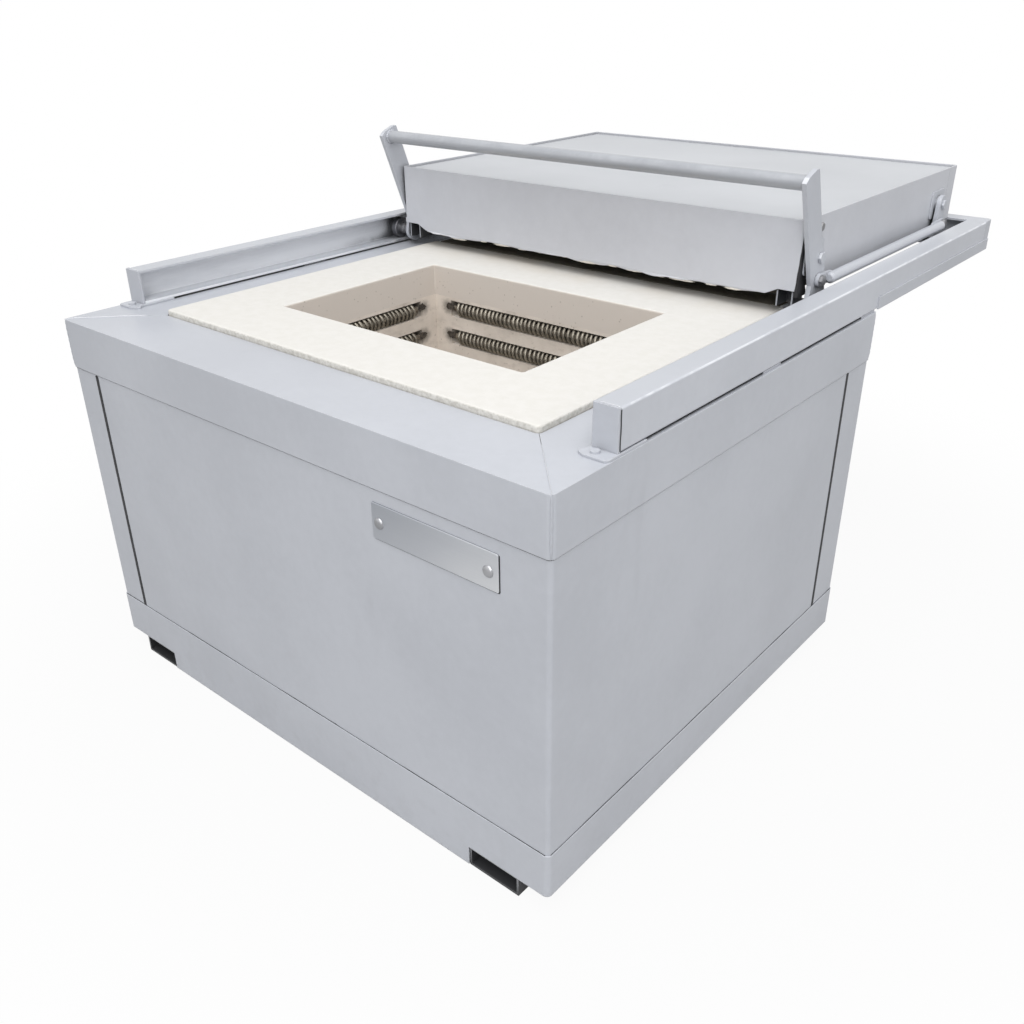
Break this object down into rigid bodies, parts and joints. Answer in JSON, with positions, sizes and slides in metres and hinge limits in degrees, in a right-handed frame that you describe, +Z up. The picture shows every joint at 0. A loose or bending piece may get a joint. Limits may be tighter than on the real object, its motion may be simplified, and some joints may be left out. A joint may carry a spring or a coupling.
{
  "type": "cupellation furnace",
  "caption": "Top-loading electric cupellation furnace with a brick-lined chamber, wire coils in grooves and an insulated lid lifted by a hand lever and rolled back on channel rails.",
  "frame": {"origin": "middle of the footprint of the whole part with its lid rolled back, on the floor", "axes": "+Z up, +Y from the front face to the back, +X to the right of somebody who stands at the front"},
  "size_m": [1.2, 1.665, 1.0289],
  "materials": {
    "grey_paint": "satin light grey paint",
    "bare_steel": "plain zinc-plated steel",
    "roller_steel": "ground bearing steel",
    "fibre_board": "matt pressed fibre board",
    "fire_brick": "matt insulating brick",
    "fibre_filling": "matt insulation",
    "dark_fibre": "matt smoked fibre",
    "lid_fibre": "matt ceramic fibre",
    "element_ceramic": "unglazed tube",
    "element_wire": "oxidised resistance wire",
    "black_plastic": "matt moulded"
  },
  "bodies": {
    "furnace_body": {"fork_pockets": "grey_paint", "base_frame": "grey_paint", "base_skirt": "grey_paint", "floor_pan": "bare_steel", "corner_posts": "bare_steel", "casing_front_right": "grey_paint", "casing_back_left": "grey_paint", "top_frame_front": "grey_paint", "top_frame_back": "grey_paint", "top_frame_left": "grey_paint", "top_frame_right": "grey_paint", "top_board": "fibre_board", "rear_strip": "dark_fibre", "brick_front": "fire_brick", "brick_back": "fire_brick", "brick_left": "fire_brick", "brick_right": "fire_brick", "chamber_floor": "fire_brick", "side_insulation": "fibre_filling", "floor_insulation": "fibre_filling", "element_tubes": "element_ceramic", "coil_back_upper": "element_wire", "coil_left_upper": "element_wire", "element_coils": "element_wire", "element_terminals": "bare_steel", "thermocouple": "element_ceramic", "terminal_box": "grey_paint", "terminal_cover": "grey_paint", "terminal_block": "black_plastic", "cable_gland": "black_plastic", "rail_right": "grey_paint", "rail_left": "grey_paint", "rail_cross_rear": "grey_paint", "rail_end_plates": "grey_paint", "rail_foot_plates": "grey_paint", "rail_packers": "grey_paint", "rail_stiffeners": "grey_paint"},
    "front_axles": {"axle_front_left": "bare_steel", "axle_front_right": "bare_steel"},
    "handle": {"lever_left": "grey_paint", "lever_right": "grey_paint", "handle_bar": "grey_paint", "link_pins_front": "bare_steel"},
    "lid": {"lid_casing": "grey_paint", "lid_top_sheet": "grey_paint", "lid_frame": "grey_paint", "lid_insulation": "lid_fibre", "lid_pivots": "grey_paint", "lid_stop_pegs": "bare_steel", "lid_feet": "grey_paint"},
    "links": {"link_rods": "grey_paint"},
    "cranks": {"rear_cranks": "grey_paint", "rear_axles": "bare_steel", "link_pins_rear": "bare_steel"},
    "front_roller_left": {"roller_front_left": "roller_steel"},
    "front_roller_right": {"roller_front_right": "roller_steel"},
    "rear_roller_left": {"roller_rear_left": "roller_steel"},
    "rear_roller_right": {"roller_rear_right": "roller_steel"}
  },
  "joints": [
    {"name": "lid_roll", "type": "slide", "parent": "furnace_body", "child": "front_axles", "axis": [0, -1, 0], "range_m": [0, 0.65]},
    {"name": "handle_lever", "type": "hinge", "parent": "front_axles", "child": "handle", "pos_m": [0, 0.0455, 0.7828], "axis": [1, 0, 0], "range_deg": [0, 52]},
    {"name": "lid_level", "type": "hinge", "parent": "handle", "child": "lid", "pos_m": [0, 0.0535, 0.8668], "axis": [1, 0, 0], "range_deg": [-52, 0]},
    {"name": "link_front", "type": "hinge", "parent": "handle", "child": "links", "pos_m": [0, 0.0495, 0.8268], "axis": [1, 0, 0], "range_deg": [-52, 0]},
    {"name": "crank_rear", "type": "hinge", "parent": "lid", "child": "cranks", "pos_m": [0, 0.6835, 0.8668], "axis": [1, 0, 0], "range_deg": [0, 52]},
    {"name": "roll_front_left", "type": "hinge", "parent": "front_axles", "child": "front_roller_left", "pos_m": [0, 0.0455, 0.7828], "axis": [1, 0, 0], "range_deg": [0, 1590]},
    {"name": "roll_front_right", "type": "hinge", "parent": "front_axles", "child": "front_roller_right", "pos_m": [0, 0.0455, 0.7828], "axis": [1, 0, 0], "range_deg": [0, 1590]},
    {"name": "roll_rear_left", "type": "hinge", "parent": "cranks", "child": "rear_roller_left", "pos_m": [0, 0.6755, 0.7828], "axis": [1, 0, 0], "range_deg": [0, 1590]},
    {"name": "roll_rear_right", "type": "hinge", "parent": "cranks", "child": "rear_roller_right", "pos_m": [0, 0.6755, 0.7828], "axis": [1, 0, 0], "range_deg": [0, 1590]}
  ],
  "couplings": [
    {"joint": "lid_level", "follows": "handle_lever", "ratio": -1},
    {"joint": "link_front", "follows": "handle_lever", "ratio": -1},
    {"joint": "crank_rear", "follows": "handle_lever", "ratio": 1},
    {"joint": "roll_front_left", "follows": "lid_roll", "rad_per_m": 42.553},
    {"joint": "roll_front_right", "follows": "lid_roll", "rad_per_m": 42.553},
    {"joint": "roll_rear_left", "follows": "lid_roll", "rad_per_m": 42.553},
    {"joint": "roll_rear_right", "follows": "lid_roll", "rad_per_m": 42.553}
  ]
}
